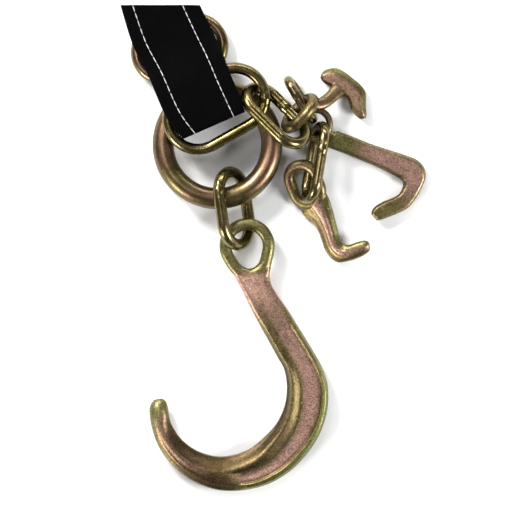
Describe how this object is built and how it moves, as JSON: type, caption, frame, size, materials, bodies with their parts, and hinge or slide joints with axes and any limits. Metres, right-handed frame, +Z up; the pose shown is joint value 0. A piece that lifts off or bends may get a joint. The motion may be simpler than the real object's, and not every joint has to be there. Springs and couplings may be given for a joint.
{
  "type": "tie-down strap hook cluster",
  "caption": "Black sleeved strap eye holding a forged ring and oval links, with a large J hook and a chained cluster of T, mini J and R hooks, zinc plated.",
  "frame": {"origin": "middle of the outline on the surface the part lies on", "axes": "+Z up from that surface, +Y towards the strap's far end, +X towards the side with the small hooks"},
  "size_m": [0.262, 0.4235, 0.0507],
  "materials": {
    "webbing": "matte",
    "sleeve": "matte",
    "thread": "matte",
    "chromate": "satin"
  },
  "bodies": {
    "strap": {"webbing": "webbing", "sleeve_front": "sleeve", "sleeve_back": "sleeve", "stitch_left": "thread", "stitch_right": "thread"},
    "main_ring": {"main_ring": "chromate"},
    "oval_link": {"oval_link": "chromate"},
    "spare_oval_link": {"spare_oval_link": "chromate"},
    "hook_link": {"hook_link": "chromate"},
    "j_hook": {"j_hook": "chromate"},
    "cluster_link": {"cluster_link": "chromate"},
    "t_hook": {"t_hook": "chromate"},
    "short_link": {"short_link": "chromate"},
    "mini_j_hook": {"mini_j_hook": "chromate"},
    "r_link": {"r_link": "chromate"},
    "r_hook": {"r_hook": "chromate"}
  },
  "joints": [
    {"name": "spare_oval_slide", "type": "slide", "parent": "strap", "child": "spare_oval_link", "axis": [0.4115, -0.9114, 0], "range_m": [-0.012, 0.003]},
    {"name": "ring_turn", "type": "hinge", "parent": "strap", "child": "main_ring", "pos_m": [-0.0483, 0.0907, 0.0183], "axis": [0.0087, 0.061, 0.9981], "range_deg": [-15, 15]},
    {"name": "hook_link_lift", "type": "hinge", "parent": "main_ring", "child": "hook_link", "pos_m": [-0.03645, 0.04499, 0.02099], "axis": [-0.9681, -0.2496, 0.0237], "range_deg": [0, 40]},
    {"name": "j_hook_swing", "type": "hinge", "parent": "hook_link", "child": "j_hook", "pos_m": [-0.0226, 0.0023, 0.0157], "axis": [0.007, -0.0314, 0.9995], "range_deg": [-40, 40]},
    {"name": "oval_turn", "type": "hinge", "parent": "strap", "child": "oval_link", "pos_m": [-0.0491, 0.1213, 0.0324], "axis": [0.0066, -0.0364, 0.9993], "range_deg": [0, 4]},
    {"name": "cluster_swing", "type": "hinge", "parent": "oval_link", "child": "cluster_link", "pos_m": [-0.033, 0.13041, 0.03263], "axis": [0.0066, -0.0364, 0.9993], "range_deg": [0, 25]},
    {"name": "t_hook_swing", "type": "hinge", "parent": "cluster_link", "child": "t_hook", "pos_m": [0.01418, 0.10392, 0.03413], "axis": [0.4482, 0.5604, 0.6964], "range_deg": [-20, 0]},
    {"name": "short_link_swing", "type": "hinge", "parent": "t_hook", "child": "short_link", "pos_m": [0.02662, 0.12726, 0.01423], "axis": [0.6957, 0.5728, 0.4335], "range_deg": [0, 15]},
    {"name": "mini_j_swing", "type": "hinge", "parent": "short_link", "child": "mini_j_hook", "pos_m": [0.037, 0.1083, 0.0138], "axis": [0.0606, -0.0441, 0.9972], "range_deg": [0, 10]},
    {"name": "r_link_swing", "type": "hinge", "parent": "mini_j_hook", "child": "r_link", "pos_m": [0.037, 0.1083, 0.0138], "axis": [0.0606, -0.0441, 0.9972], "range_deg": [-4, 8]},
    {"name": "r_hook_swing", "type": "hinge", "parent": "r_link", "child": "r_hook", "pos_m": [0.02583, 0.06087, 0.01119], "axis": [-0.2893, -0.2569, 0.9221], "range_deg": [-8, 5]}
  ]
}
